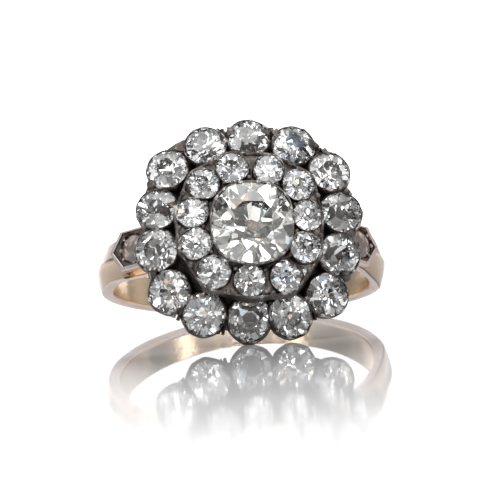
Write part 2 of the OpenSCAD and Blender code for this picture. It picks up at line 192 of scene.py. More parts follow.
def old_cut(a, b, p, table, seed, deep=PAVILION, loose=1.0, culet=0.97):
    """A hand-cut brilliant: a rounded prism cut by planes, each a little off its true angle."""
    chance = random.Random(seed)
    off = lambda amount: chance.uniform(-amount, amount) * loose
    d = 2 * min(a, b)
    hc, hp, g = d * CROWN, d * deep, d * GIRDLE
    q = p / (p - 1)
    c8, c16 = math.cos(math.pi / 8), math.cos(math.pi / 16)
    rc, rp = 0.58 + 0.36 * table, 0.52
    zc = g + (hc - g) * (1 - rc * c8) / (1 - table)
    zp = -g - (hp - g) * (1 - rp * c8) / (1 - CULET * c8)
    reach = lambda t: (abs(a * math.cos(t)) ** q + abs(b * math.sin(t)) ** q) ** (1 / q)
    bm = bmesh.new()
    n = 40
    rows = []
    for z in (-hp, hc):
        rows.append([bm.verts.new((*outline(a, b, p, 2 * math.pi * i / n), z)) for i in range(n)])
    bm.faces.new(rows[0][::-1])
    bm.faces.new(rows[1])
    for i in range(n):
        m = (i + 1) % n
        bm.faces.new((rows[0][i], rows[0][m], rows[1][m], rows[1][i]))

    def facet(az, slope, out, z, up=1):
        t = az + math.radians(off(2.6))
        s = slope + math.radians(off(1.3))
        out = out * (1 - abs(off(0.010)))
        normal = Vector((math.cos(t) * math.sin(s), math.sin(t) * math.sin(s), up * math.cos(s)))
        cut(bm, Vector((math.cos(t) * out, math.sin(t) * out, z)), normal)

    tilt = Vector((math.radians(off(1.6)), math.radians(off(1.6)), 1)).normalized()
    cut(bm, Vector((0, 0, hc - 0.004 * d)), tilt)
    for k in range(8):
        az = math.pi / 8 + k * math.pi / 4
        h = reach(az)
        facet(az, math.atan2(hc - g, h * (1 - table)), h, g)
        facet(az, math.atan2(hp - g, h * (1 - CULET * c8)), h, -g, -1)
    for k in range(16):
        az = math.pi / 16 + k * math.pi / 8
        h = reach(az)
        facet(az, math.atan2(zc - g, h * (1 - rc * c16)), h, g)
        facet(az, math.atan2(-g - zp, h * (1 - rp * c16)), h, -g, -1)
    for k in range(8):
        az = k * math.pi / 4
        h = reach(az)
        facet(az, math.atan2(hc - zc, h * (rc - table * c8)), h * rc, zc)
    for k in range(int(3.4 * loose)):
        az = chance.uniform(0, 2 * math.pi)
        out = reach(az) * chance.uniform(0.945, 0.98)
        cut(bm, Vector((math.cos(az) * out, math.sin(az) * out, 0)),
            Vector((math.cos(az), math.sin(az), chance.uniform(0.0, 0.25))).normalized())
    cut(bm, Vector((0, 0, -hp * culet)), Vector((0, 0, -1)))
    bmesh.ops.remove_doubles(bm, verts=bm.verts[:], dist=1e-5)
    bmesh.ops.recalc_face_normals(bm, faces=bm.faces[:])
    return bm


def stone(name, a, b, p, table, place, material, seed, deep=PAVILION, loose=1.0, culet=0.97):
    bm = old_cut(a, b, p, table, seed, deep, loose, culet)
    mesh = bpy.data.meshes.new(name)
    bm.transform(Matrix.Scale(MM, 4) @ place)
    if place.determinant() < 0:
        bmesh.ops.reverse_faces(bm, faces=bm.faces[:])
    bm.to_mesh(mesh)
    bm.free()
    mesh.materials.append(material)
    piece = bpy.data.objects.new(name, mesh)
    scene.collection.objects.link(piece)
    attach(piece, "root")
    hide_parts(name)
    piece.name = name + "_cut"
    return piece


# ------------------------------------------------------------------ materials
class Nodes:
    """Short helpers for a shader tree."""

    def __init__(self, tree):
        self.tree, self.nodes, self.links = tree, tree.nodes, tree.links

    def new(self, kind, **values):
        node = self.nodes.new(kind)
        for key, value in values.items():
            setattr(node, key, value)
        return node

    def put(self, value, socket):
        if isinstance(value, bpy.types.NodeSocket):
            self.links.new(value, socket)
        else:
            socket.default_value = value

    def math(self, operation, a, b=0.0, clamp=False):
        node = self.new("ShaderNodeMath", operation=operation, use_clamp=clamp)
        self.put(a, node.inputs[0])
        self.put(b, node.inputs[1])
        return node.outputs[0]

    def ramp(self, value, low, high, to_low=0.0, to_high=1.0, smooth=True):
        node = self.new("ShaderNodeMapRange", interpolation_type="SMOOTHSTEP" if smooth else "LINEAR")
        for i, v in enumerate((value, low, high, to_low, to_high)):
            self.put(v, node.inputs[i])
        return node.outputs[0]

    def mix(self, factor, a, b):
        node = self.new("ShaderNodeMix", data_type="RGBA")
        self.put(factor, node.inputs["Factor"])
        self.put((*a, 1) if isinstance(a, tuple) else a, node.inputs[6])
        self.put((*b, 1) if isinstance(b, tuple) else b, node.inputs[7])
        return node.outputs[2]

    def noise(self, vector, scale, detail=2.0, rough=0.5):
        node = self.new("ShaderNodeTexNoise")
        self.links.new(vector, node.inputs["Vector"])
        node.inputs["Scale"].default_value = scale
        node.inputs["Detail"].default_value = detail
        node.inputs["Roughness"].default_value = rough
        return node.outputs["Fac"]

    def stretched(self, vector, scale):
        node = self.new("ShaderNodeVectorMath", operation="MULTIPLY")
        self.links.new(vector, node.inputs[0])
        node.inputs[1].default_value = scale
        return node.outputs[0]


def material(name):
    mat = bpy.data.materials.new(name)
    mat.use_nodes = True
    n = Nodes(mat.node_tree)
    shader = n.nodes["Principled BSDF"]
    place = n.new("ShaderNodeTexCoord").outputs["Object"]
    mm = n.stretched(place, (1000, 1000, 1000))
    return mat, n, shader, mm


def bump(n, shader, height, distance, strength=1.0):
    node = n.new("ShaderNodeBump")
    node.inputs["Strength"].default_value = strength
    node.inputs["Distance"].default_value = distance * MM
    n.links.new(height, node.inputs["Height"])
    n.links.new(node.outputs[0], shader.inputs["Normal"])
    return node


def silver(name, dark, mid, bright, base_wear=0.0):
    mat, n, shader, mm = material(name)
    shader.inputs["Metallic"].default_value = 1.0
    attribute = n.new("ShaderNodeAttribute", attribute_name="wear_and_shade").outputs["Fac"]
    patches = n.noise(mm, 1.1, 3, 0.6)
    grain = n.noise(mm, 9.0, 3, 0.6)
    tarnish = n.ramp(patches, 0.32, 0.68)
    body = n.mix(tarnish, dark, mid)
    rubbed = n.math("ADD", attribute, n.math("MULTIPLY", n.math("SUBTRACT", grain, 0.5), 0.9))
    rubbed = n.ramp(n.math("ADD", rubbed, base_wear), 0.35, 0.95)
    streak = n.ramp(n.noise(n.stretched(mm, (1.6, 7.5, 2.4)), 1.4, 3, 0.65), 0.585, 0.70)
    rubbed = n.math("MAXIMUM", rubbed, n.math("MULTIPLY", streak, 0.75))
    n.put(n.mix(rubbed, body, bright), shader.inputs["Base Color"])
    rough = n.math("ADD", n.ramp(rubbed, 0, 1, 0.36, 0.2), n.math("MULTIPLY", n.math("SUBTRACT", grain, 0.5), 0.25))
    n.put(rough, shader.inputs["Roughness"])
    fine = n.noise(mm, 26.0, 2, 0.6)
    scratches = n.noise(n.stretched(mm, (3.0, 22.0, 9.0)), 1.6, 2, 0.6)
    height = n.math("ADD", n.math("MULTIPLY", fine, 0.35), n.math("MULTIPLY", scratches, 0.4))
    height = n.math("ADD", height, n.math("MULTIPLY", grain, 0.8))
    bump(n, shader, height, 0.042)
    return mat


def gold(name, dull, bright):
    mat, n, shader, mm = material(name)
    shader.inputs["Metallic"].default_value = 1.0
    patches = n.noise(mm, 0.45, 3, 0.55)
    grain = n.noise(mm, 6.0, 3, 0.6)
    attribute = n.new("ShaderNodeAttribute", attribute_name="wear_and_shade").outputs["Fac"]
    body = n.mix(n.ramp(patches, 0.35, 0.65), dull, bright)
    rubbed = n.ramp(n.math("ADD", attribute, n.math("MULTIPLY", n.math("SUBTRACT", grain, 0.5), 0.5)), 0.3, 0.9)
    worn = n.mix(rubbed, body, (0.95, 0.86, 0.80))
    # values below zero darken the gold to near black in grooves, a recess and along edges: painted shade
    crease_shade = n.ramp(attribute, -0.06, -0.36)
    n.put(n.mix(crease_shade, worn, (0.17, 0.12, 0.095)), shader.inputs["Base Color"])
    n.put(n.ramp(grain, 0.3, 0.7, 0.11, 0.2), shader.inputs["Roughness"])
    scratches = n.noise(n.stretched(mm, (2.0, 26.0, 2.0)), 1.5, 3, 0.65)
    dents = n.noise(mm, 0.9, 2, 0.5)
    height = n.math("ADD", n.math("MULTIPLY", scratches, 0.12), n.math("MULTIPLY", dents, 1.2))
    height = n.math("ADD", height, n.math("MULTIPLY", grain, 0.12))
    bump(n, shader, height, 0.03)
    return mat


def diamond(name, tint_a, tint_b, haze=0.0):
    mat, n, shader, mm = material(name)
    shader.inputs["IOR"].default_value = 2.417
    shader.inputs["Transmission Weight"].default_value = 1.0
    cloud = n.noise(mm, 1.3, 3, 0.6)
    n.put(n.mix(n.ramp(cloud, 0.35, 0.7), tint_a, tint_b), shader.inputs["Base Color"])
    n.put(n.ramp(n.noise(mm, 4.0, 3, 0.6), 0.45, 0.8, 0.0, 0.02 + haze), shader.inputs["Roughness"])
    return mat


SILVER = silver("silver_dark", (0.075, 0.062, 0.056), (0.20, 0.178, 0.166), (0.80, 0.775, 0.755))
# a lighter copy of the silver for the web between the stones: painted light against the shade there
POCKET_LIT = silver("silver_pocket_painted_light", (0.20, 0.175, 0.16), (0.52, 0.475, 0.45), (0.78, 0.76, 0.75))
LINING = silver("silver_lining", (0.07, 0.055, 0.05), (0.19, 0.16, 0.145), (0.60, 0.55, 0.52), 0.05)
# three copies of one gold: a darker one for the outer face and gallery as painted shade, lighter ones for the flanks,
# bezels and inside as painted light
GOLD_SHADED = gold("gold_painted_shade", (0.45, 0.34, 0.26), (0.505, 0.383, 0.293))
FOIL = silver("foil", (0.62, 0.54, 0.51), (0.84, 0.77, 0.74), (0.92, 0.88, 0.86))
GOLD_SIDE_LIT = gold("gold_side_painted_light", (0.73, 0.62, 0.59), (0.80, 0.68, 0.64))
GOLD_INSIDE_LIT = gold("gold_inside_painted_light", (0.89, 0.665, 0.46), (0.96, 0.735, 0.53))
DIAMOND = diamond("old_diamond", (0.955, 0.96, 0.965), (0.88, 0.885, 0.89))
CENTRE = diamond("centre_diamond_glass", (0.985, 0.985, 0.945), (0.955, 0.96, 0.90))
DUSKY = diamond("shoulder_diamond_glass", (0.99, 0.965, 0.955), (0.94, 0.905, 0.885))

# ------------------------------------------------------------------ diamonds
depth = random.Random(77)
for i, s in enumerate(OUTER):
    place = seat(HEAD, s[AZ], s[FAR], OUTER_N, OUTER_LEAN) @ turn("Z", s[TWIST])
    stone("outer_stone_%02d" % (i + 1), s[WIDE] / 2 + SPREAD[i], s[LONG] / 2 + SPREAD[i], 2, s[TABLE], place, DIAMOND, 100 + i,
          deep=PAVILION + depth.uniform(-0.035, 0.008), loose=1.6)
for i, s in enumerate(INNER):
    place = seat(HEAD, s[AZ], s[FAR], INNER_N, INNER_LEAN) @ turn("Z", s[TWIST])
    stone("inner_stone_%02d" % (i + 1), s[WIDE] / 2 + 0.03, s[LONG] / 2 + 0.03, 2, s[TABLE], place, DIAMOND, 200 + i,
          deep=PAVILION + depth.uniform(-0.035, 0.008), loose=1.6)
stone("centre_stone", CENTRE_W / 2, CENTRE_L / 2, CENTRE_P, 0.5, HEAD @ move(*CENTRE_AT, CENTRE_N),
      CENTRE, 300, loose=1.0, culet=0.955)
for side, word in ((-1, "left"), (1, "right")):
    s = SHOULDER[0 if side < 0 else 1]
    stone("shoulder_stone_" + word, s[2] / 2, s[1] / 2, 2, 0.4, bezel_frame(side) @ move(BEZEL_SHIFT + s[0], CUP_Y, -0.25),
          DUSKY, 400 + side, deep=0.33, loose=1.7)

# ------------------------------------------------------------------ silver head
def bump_at(angles, width):
    """1 at each angle, falling to 0 over width, in radians."""
    def value(t):
        near = min(abs((t - a + math.pi) % (2 * math.pi) - math.pi) for a in angles)
        x = max(0.0, 1 - near / width)
        return x * x * (3 - 2 * x)
    return value


def collet(shape, place, a, b, rim, depth, foot, grains, seed, n=64, lip=1.0):
    """A cut-down collet: a thin wall whose edge is raised into small grains that hold the stone."""
    chance = random.Random(seed)
    start = chance.random()
    angles = [2 * math.pi * (i + start + chance.uniform(-0.3, 0.3)) / grains for i in range(grains)]
    height = {t: chance.choice((0.3, 0.6, 0.8, 1.1)) for t in angles}
    shape_of = bump_at(angles, 0.15)
    broad = bump_at(angles, 0.34)
    hp = PAVILION * 2 * min(a, b)
    rub = lambda t: max(0.0, 0.25 + 1.5 * noise.noise(Vector((math.cos(t) * 2.3, math.sin(t) * 2.3, seed * 1.7))))
    rows, wears_and_shades = [], []
    for r in range(10):
        ring, wear_and_shade = [], []
        for i in range(n):
            t = 2 * math.pi * i / n
            near = min(angles, key=lambda x: abs((t - x + math.pi) % (2 * math.pi) - math.pi))
            g, w = shape_of(t) * height[near] * lip, broad(t) * height[near]
            j = noise.noise(Vector((math.cos(t) * 1.7, math.sin(t) * 1.7, seed * 3.1))) * 0.03
            scale, grow, z, worn = [
                (1, 0.030, -0.10, 0.0),
                (1, 0.010 - 0.16 * g, 0.03 + 0.12 * g, 0.1 + 0.6 * g),
                (1, 0.020 - 0.12 * g, 0.05 + 0.20 * g, rub(t) + 0.7 * g),
                (1, 0.060 - 0.02 * g, 0.045 + 0.16 * g + j, rub(t) + 0.7 * g),
                (1, rim * 0.66 + 0.02 * w + j, -0.05 + 0.06 * g, 0.5 * rub(t) + 0.4 * g),
                (1, rim * 1.02 + 0.05 * w + j, -0.26, 0.0 + 0.4 * w),
                (1, rim * 1.06 + 0.06 * w + j, -0.60, 0.0 + 0.2 * w),
                (foot, rim * foot, -depth, 0.0),
                (foot, rim * foot - 0.14, -depth, 0.0),
                (0.54, 0.02, -0.62 * hp, 0.0),
            ][r]
            ring.append(((a * scale + grow) * math.cos(t), (b * scale + grow) * math.sin(t), z))
            wear_and_shade.append(worn)
        rows.append(ring)
        wears_and_shades.extend(wear_and_shade)
    points, faces = loft(rows, closed_along=True)
    shape.add(points, [f[::-1] for f in faces], place, wears_and_shades)


def ball(shape, place, size, wear_and_shade=0.3, squash=(1, 1, 1), n=14):
    rows = []
    for j in range(1, 8):
        e = -math.pi / 2 + math.pi * j / 8
        rows.append([(size / 2 * squash[0] * math.cos(e) * math.cos(2 * math.pi * i / n),
                      size / 2 * squash[1] * math.cos(e) * math.sin(2 * math.pi * i / n),
                      size / 2 * squash[2] * math.sin(e)) for i in range(n)])
    points, faces = loft(rows)
    shape.add(points, faces, place, wear_and_shade)


def lump(shape, points, place, edge=0.045, wear_and_shade=0.3):
    """A filed facet shape: the hull of a few points with its edges eased."""
    bm = bmesh.new()
    for p in points:
        bm.verts.new(p)
    result = bmesh.ops.convex_hull(bm, input=bm.verts[:])
    inside = [v for v in bm.verts if not v.link_faces]
    bmesh.ops.delete(bm, geom=inside, context="VERTS")
    bmesh.ops.dissolve_limit(bm, angle_limit=0.02, verts=bm.verts[:], edges=bm.edges[:])
    bmesh.ops.bevel(bm, geom=bm.edges[:], offset=edge, segments=2, profile=0.6, affect="EDGES", clamp_overlap=True)
    bmesh.ops.recalc_face_normals(bm, faces=bm.faces[:])
    bm.verts.index_update()
    shape.add([v.co.copy() for v in bm.verts], [[v.index for v in f.verts] for f in bm.faces], place, wear_and_shade)
    bm.free()


def turned(shape, rows, place, n=96, wear_and_shade=0.0):
    """A closed turned ring through (radius, height) pairs taken anticlockwise in section."""
    rings = [[(r * math.cos(2 * math.pi * i / n), r * math.sin(2 * math.pi * i / n), z) for i in range(n)] for r, z in rows]
    points, faces = loft(rings, closed_along=True)
    shape.add(points, faces, place, wear_and_shade)


head = Shape()
for i, s in enumerate(OUTER):
    collet(head, seat(HEAD, s[AZ], s[FAR], OUTER_N, OUTER_LEAN), s[WIDE] / 2 + SPREAD[i], s[LONG] / 2 + SPREAD[i],
           0.193 - SPREAD[i], 1.4, 0.6, 9, 20 + i)
for i, s in enumerate(INNER):
    collet(head, seat(HEAD, s[AZ], s[FAR], INNER_N, INNER_LEAN), s[WIDE] / 2 + 0.03, s[LONG] / 2 + 0.03,
           0.10, 0.93, 0.72, 8, 60 + i, 48)
# drum, base ring
turned(head, [(3.96, HEAD_N + 0.3), (4.43, HEAD_N + 0.3), (4.43, HEAD_N + 2.14), (3.96, HEAD_N + 2.14)], HEAD)
turned(head, [(4.3, HEAD_N), (5.8, HEAD_N), (6.0, HEAD_N + 0.3), (6.05, HEAD_N + 0.62), (5.9, HEAD_N + 0.7), (4.3, HEAD_N + 0.7)], HEAD)

# centre collet, its edge pressed over the stone in a row of uneven grains
rows, wears_and_shades = [], []
chance = random.Random(9)
grain_at = [2 * math.pi * (i + chance.uniform(-0.2, 0.2)) / 17 for i in range(17)]
grain = bump_at(grain_at, 0.075)
n_ring = 128
for r in range(8):
    for i in range(n_ring):
        t = 2 * math.pi * i / n_ring
        g = grain(t) * (0.6 + 0.5 * noise.noise(Vector((math.cos(t) * 3, math.sin(t) * 3, 4))))
        scale, grow, z, worn = [
            (1, 0.035, -0.12, 0), (1, -0.03 - 0.13 * g, 0.10 + 0.11 * g, 0.3 + 0.6 * g),
            (1, -0.01 - 0.10 * g, 0.14 + 0.15 * g, 0.5 + 0.6 * g), (1, 0.07, 0.13 + 0.1 * g, 0.45 + 0.6 * g),
            (1, 0.13, 0.02, 0.2), (1, 0.12, -0.35, 0), (0.84, 0.1, -1.44, 0), (0.66, 0.0, -1.2, 0)][r]
        x, y = outline(CENTRE_W / 2 * scale, CENTRE_L / 2 * scale, CENTRE_P, t, grow)
        if i == 0:
            rows.append([])
        rows[-1].append((x, y, z))
        wears_and_shades.append(worn)
points, faces = loft(rows, closed_along=True)
head.add(points, [f[::-1] for f in faces], HEAD @ move(*CENTRE_AT, CENTRE_N), wears_and_shades)

# beads in the gaps round the inner row
chance = random.Random(31)
for i, s in enumerate(INNER):
    m = INNER[(i + 1) % len(INNER)]
    gap = (m[AZ] - s[AZ]) % 360
    angle = s[AZ] + gap / 2 + chance.uniform(-2, 2)
    far = (s[FAR] + m[FAR]) / 2
    for step, size in ((0.86, 0.42), (-0.80, 0.36)):
        ball(head, seat(HEAD, angle, far + step, INNER_N + 0.02, INNER_LEAN),
             size * chance.uniform(0.85, 1.15), 0.45, (1, 1, chance.uniform(0.8, 1.1)), 10)

# claws at the outer notches
filed = Shape()


def lifted(p):
    """The outer claws stand over the rims beside them."""
    return (p[0], p[1], p[2] + 0.16) if p[2] < 12 else tuple(p)


def plate(corners, drop=0.62, edge=0.03, wear_and_shade=0.15):
    """A filed flat: its corners in the head's own axes, and a foot drawn in below it."""
    corners = [lifted(c) for c in corners]
    low = [(x * 0.955, y * 0.955, z - drop) for x, y, z in corners]
    lump(filed, list(corners) + low, HEAD, edge, wear_and_shade)


def rib(start, end, width, wear_and_shade=0.4, drop=0.5):
    """A ridge filed along the metal from start to end."""
    p, q = Vector(lifted(start)), Vector(lifted(end))
    side = (q - p).cross(Vector((0, 0, 1))).normalized() * width / 2
    foot = Vector((0, 0, -drop))
    points = [p - side + foot * 0.4, p + side + foot * 0.4, q - side + foot * 0.4, q + side + foot * 0.4,
              p * 0.97 + foot - side, p * 0.97 + foot + side, q + foot - side, q + foot + side, p, q + (p - q) * 0.1]
    lump(filed, points, HEAD, 0.03, wear_and_shade)


# stems that carry the claws down to the base ring
for x, y in ((-6.50, 3.12), (-6.75, 0.14), (-6.45, -3.10), (-4.80, -5.70), (-1.75, -6.75), (1.45, -6.65),
             (4.45, -5.75), (6.40, -3.15), (6.70, -0.24), (6.40, 3.00), (4.75, 5.55), (1.75, 6.65),
             (-1.60, 6.70), (-4.80, 5.70)):
    angle, away = math.degrees(math.atan2(x, y)), math.hypot(x, y)
    lump(filed, [(-0.34, -0.5, -0.15), (0.34, -0.5, -0.15), (-0.36, 0.12, -0.2), (0.36, 0.12, -0.2),
                 (-0.2, -1.05, -1.15), (0.2, -1.05, -1.15), (-0.2, -0.55, -1.2), (0.2, -0.55, -1.2)],
         seat(HEAD, angle, away, OUTER_N - 0.30 * (away - 6.2), 24), 0.05, 0.1)
plate([(-5.46, 5.60, 11.10), (-4.20, 5.42, 11.52), (-4.27, 6.30, 11.22), (-4.84, 6.04, 11.12)], wear_and_shade=0.1)
rib((-5.40, 5.38, 11.12), (-4.20, 5.35, 11.58), 0.08, 0.9, 0.3)
rib((-4.12, 5.37, 11.58), (-4.20, 6.07, 11.30), 0.07, 0.85, 0.3)
rib((-2.04, 7.02, 11.24), (-1.76, 6.05, 11.66), 0.34, 0.3)
rib((-1.74, 7.06, 11.28), (-1.46, 6.15, 11.64), 0.26, 0.55)
plate([(-2.1, 6.9, 11.05), (-0.95, 6.98, 11.05), (-1.2, 6.0, 11.3), (-1.7, 6.0, 11.3)], 0.5, 0.04, 0.05)
plate([(-1.42, 7.14, 11.30), (-0.98, 7.12, 11.40), (-1.02, 6.62, 11.60), (-1.40, 6.45, 11.60)], wear_and_shade=0.2)
rib((-1.22, 7.08, 11.46), (-1.18, 6.70, 11.62), 0.12, 0.95, 0.2)
plate([(0.85, 7.14, 11.36), (1.50, 6.76, 11.50), (1.35, 6.38, 11.62), (1.02, 6.70, 11.60)], wear_and_shade=0.1)
plate([(1.60, 6.72, 11.42), (1.90, 7.10, 11.32), (2.26, 6.74, 11.40), (1.92, 6.25, 11.66)], wear_and_shade=0.25)
rib((1.98, 6.98, 11.42), (1.74, 6.00, 11.72), 0.14, 0.6, 0.3)
plate([(4.02, 6.34, 11.36), (4.36, 6.30, 11.28), (4.86, 5.84, 11.22), (4.42, 5.62, 11.60), (4.02, 5.92, 11.60)], edge=0.08, wear_and_shade=0.2)
for k in range(3):
    rib((4.90 + 0.28 * k, 5.74 - 0.20 * k, 11.30 - 0.06 * k), (4.48 + 0.26 * k, 5.20 - 0.14 * k, 11.62 - 0.04 * k), 0.19, 0.3 + 0.12 * k)
plate([(6.12, 3.46, 11.42), (6.68, 3.46, 11.16), (6.66, 2.95, 11.16), (6.08, 2.92, 11.42)], edge=0.05, wear_and_shade=0.12)
rib((6.96, 2.46, 11.05), (6.22, 2.70, 11.42), 0.24, 0.45)
plate([(-6.78, 3.02, 11.20), (-6.30, 2.92, 11.36), (-7.02, 2.38, 11.08), (-6.76, 2.34, 11.20)], edge=0.06, wear_and_shade=0.15)
ball(head, HEAD @ move(-6.49, 3.14, 11.44), 0.68, 0.05, (1, 1, 0.9), 20)
rib((-6.22, 3.42, 11.50), (-6.16, 2.95, 11.52), 0.09, 0.95, 0.2)
rib((-6.98, 0.32, 11.22), (-6.28, 0.26, 11.55), 0.22, 0.35)
rib((-6.98, 0.02, 11.22), (-6.28, -0.02, 11.55), 0.22, 0.2)
plate([(-6.78, -2.84, 11.20), (-6.20, -2.74, 11.52), (-6.28, -3.36, 11.42), (-6.76, -3.30, 11.16)], edge=0.05, wear_and_shade=0.15)
rib((-6.66, -2.90, 11.34), (-6.58, -3.30, 11.30), 0.10, 0.8, 0.2)
rib((-5.16, -5.92, 11.12), (-4.84, -5.32, 11.58), 0.20, 0.85)
rib((-4.86, -6.10, 11.10), (-4.56, -5.48, 11.52), 0.20, 0.5)
rib((-2.14, -7.06, 11.12), (-1.96, -6.38, 11.58), 0.20, 0.5)
rib((-1.84, -7.10, 11.12), (-1.68, -6.46, 11.54), 0.20, 0.25)
rib((0.95, -6.95, 11.16), (1.22, -6.25, 11.60), 0.12, 0.8)
rib((1.95, -6.90, 11.16), (1.62, -6.25, 11.60), 0.12, 0.7)
rib((4.38, -6.10, 11.12), (4.22, -5.40, 11.55), 0.20, 0.3)
rib((4.72, -5.95, 11.12), (4.52, -5.28, 11.52), 0.20, 0.7)
rib((4.98, -5.72, 11.12), (4.80, -5.12, 11.50), 0.16, 0.4)
ball(head, HEAD @ move(6.42, -3.16, 11.40), 0.74, 0.22, (1, 1, 0.9), 20)
ball(head, HEAD @ move(6.80, -0.18, 11.24), 0.80, 0.3, (1, 1, 0.9), 20)

for x, y, z, size, wear_and_shade in ((1.52, 6.94, 11.42, 0.58, 0.3), (1.30, 7.06, 11.36, 0.34, 0.7), (5.12, 5.52, 11.38, 0.56, 0.2), (5.34, 5.40, 11.34, 0.36, 0.6),
                            (6.60, 2.72, 11.40, 0.60, 0.2), (6.78, 2.60, 11.32, 0.36, 0.6), (-2.02, 6.90, 11.36, 0.46, 0.3)):
    h = size / 2
    lump(filed, [(-h, -h, -0.8), (h, -h, -0.8), (h * 0.9, h * 0.8, -0.8), (-h * 0.9, h * 0.8, -0.8),
                 (-h * 0.6, -h * 0.5, 0.1), (h * 0.55, -h * 0.6, 0.14), (h * 0.5, h * 0.6, 0.08), (-h * 0.5, h * 0.65, 0.05)],
         HEAD @ move(x, y, z) @ turn("Z", 60 * x), 0.04, wear_and_shade)

# small filed points on the web between the two rows. Columns: across, along, height, size, wear
POINTS = [
    (3.78, -4.72, 12.0, 0.52, 0.85), (4.15, -4.35, 11.9, 0.42, 0.7), (4.55, -4.9, 11.75, 0.5, 0.55),
    (1.35, -5.10, 11.85, 0.5, 0.5), (-1.75, -5.15, 11.8, 0.46, 0.4), (-4.6, -4.15, 11.8, 0.42, 0.35),
    (5.45, -2.05, 11.75, 0.42, 0.55), (5.3, 1.6, 11.7, 0.4, 0.3), (-5.35, -2.0, 11.7, 0.4, 0.3),
    (3.2, 4.75, 11.7, 0.42, 0.25), (-3.1, 4.75, 11.7, 0.42, 0.25), (-5.35, 1.75, 11.7, 0.42, 0.25),
]
for x, y, level, size, wear_and_shade in POINTS:
    at = HEAD @ move(x, y, level) @ turn("Z", 40 * x)
    h = size / 2
    lump(filed, [(-h, -h * 0.7, -0.5), (h, -h * 0.8, -0.5), (h * 0.8, h, -0.5), (-h * 0.7, h, -0.5),
                 (0.2 * h, 0.1 * h, 0.3), (-0.5 * h, 0.3 * h, 0.12)], at, 0.03, wear_and_shade)

plate([(3.42, -3.06, 12.98), (3.86, -2.98, 12.96), (3.58, -3.72, 13.04)], 0.3, 0.02, 1.0)
plate([(1.52, -4.18, 12.95), (1.96, -4.22, 12.98), (1.86, -4.02, 12.90), (1.5, -4.02, 12.9)], 0.3, 0.02, 0.9)
rib((-0.88, -4.45, 13.02), (-0.42, -4.05, 12.98), 0.06, 0.95, 0.2)

# upright rim of the upper tier, along the hull of the inner stones
circle = []
for s in INNER:
    c = Vector((0, s[FAR]))
    for k in range(24):
        t = 2 * math.pi * k / 24
        q = Vector((s[WIDE] / 2 * math.cos(t), s[FAR] + s[LONG] / 2 * math.sin(t)))
        w = -math.radians(s[AZ])
        circle.append((q.x * math.cos(w) - q.y * math.sin(w), q.x * math.sin(w) + q.y * math.cos(w)))


def hull(points):
    points = sorted(set(points))
    def half(run):
        chain = []
        for p in run:
            while len(chain) > 1 and ((chain[-1][0] - chain[-2][0]) * (p[1] - chain[-2][1])
                                      - (chain[-1][1] - chain[-2][1]) * (p[0] - chain[-2][0])) <= 0:
                chain.pop()
            chain.append(p)
        return chain[:-1]
    return half(points) + half(points[::-1])


path = hull(circle)
walk, total = [0.0], 0.0
for k in range(len(path)):
    p, q = path[k], path[(k + 1) % len(path)]
    total += math.hypot(q[0] - p[0], q[1] - p[1])
    walk.append(total)
n_wall = 150
centre_line = []
for k in range(n_wall):
    d = total * k / n_wall
    j = max(i for i in range(len(path)) if walk[i] <= d)
    f = (d - walk[j]) / max(walk[j + 1] - walk[j], 1e-9)
    p, q = path[j], path[(j + 1) % len(path)]
    centre_line.append(Vector((p[0] + (q[0] - p[0]) * f, p[1] + (q[1] - p[1]) * f)))
sections = [[] for _ in range(7)]
wears_and_shades = [[] for _ in range(7)]
for k in range(n_wall):
    ahead, behind = centre_line[(k + 1) % n_wall], centre_line[k - 1]
    d = (ahead - behind).normalized()
    out = Vector((d.y, -d.x))
    p = centre_line[k]
    w = noise.noise(Vector((p.x * 0.8, p.y * 0.8, 2.2)))
    v = noise.noise(Vector((p.x * 2.1, p.y * 2.1, 7.7)))
    top = INNER_N - 0.13 + 0.06 * w
    thick = 0.10 + 0.03 * v
    mid = 0.06 + 0.03 * w
    for r, (o, z, worn) in enumerate((
            (mid - thick, INNER_N - 1.05, 0.0), (mid + thick + 0.05, INNER_N - 1.05, 0.0),
            (mid + thick + 0.02, top - 0.30, 0.05), (mid + thick, top - 0.04, 0.15),
            (mid + thick * 0.4, top, 0.35), (mid - thick * 0.4, top, 0.3), (mid - thick, top - 0.05, 0.1))):
        q = p + out * o
        sections[r].append((q.x, q.y, z))
        wears_and_shades[r].append(worn + 0.9 * v * (r > 2))
points, faces = loft(sections, closed_along=True)
head.add(points, faces, HEAD, [w for r in wears_and_shades for w in r])

# the two floors, hammered into uneven flats
web = Shape()


def floor_ring(shape, place, inner, outer, turns, rings, level, thick, rough, seed, slope=0.0, wear_and_shade=0.05):
    chance = random.Random(seed)
    top, low = [], []
    for r in range(rings + 1):
        for k in range(turns):
            t = 2 * math.pi * (k + chance.uniform(-0.3, 0.3) * (0 < r < rings)) / turns
            a, b = inner(t), outer(t)
            d = a + (b - a) * (r + chance.uniform(-0.25, 0.25) * (0 < r < rings)) / rings
            z = level + chance.uniform(-rough, rough) - slope * (r / rings)
            top.append((d * math.cos(t), d * math.sin(t), z))
            low.append((d * math.cos(t), d * math.sin(t), level - thick))
    n, faces = turns * (rings + 1), []
    for r in range(rings):
        for k in range(turns):
            m = (k + 1) % turns
            a, b, c, d = r * turns + k, r * turns + m, (r + 1) * turns + m, (r + 1) * turns + k
            faces += [(a, d, c), (a, c, b)] if (r + k) % 2 else [(a, d, b), (d, c, b)]
            faces.append((n + a, n + b, n + c, n + d))
    for k in range(turns):
        m = (k + 1) % turns
        faces.append((k, m, n + m, n + k))
        a, b = rings * turns + k, rings * turns + m
        faces.append((b, a, n + a, n + b))
    shape.add(top + low, faces, place, [wear_and_shade + chance.uniform(-0.1, 0.22) for _ in top] + [0.0] * len(low))


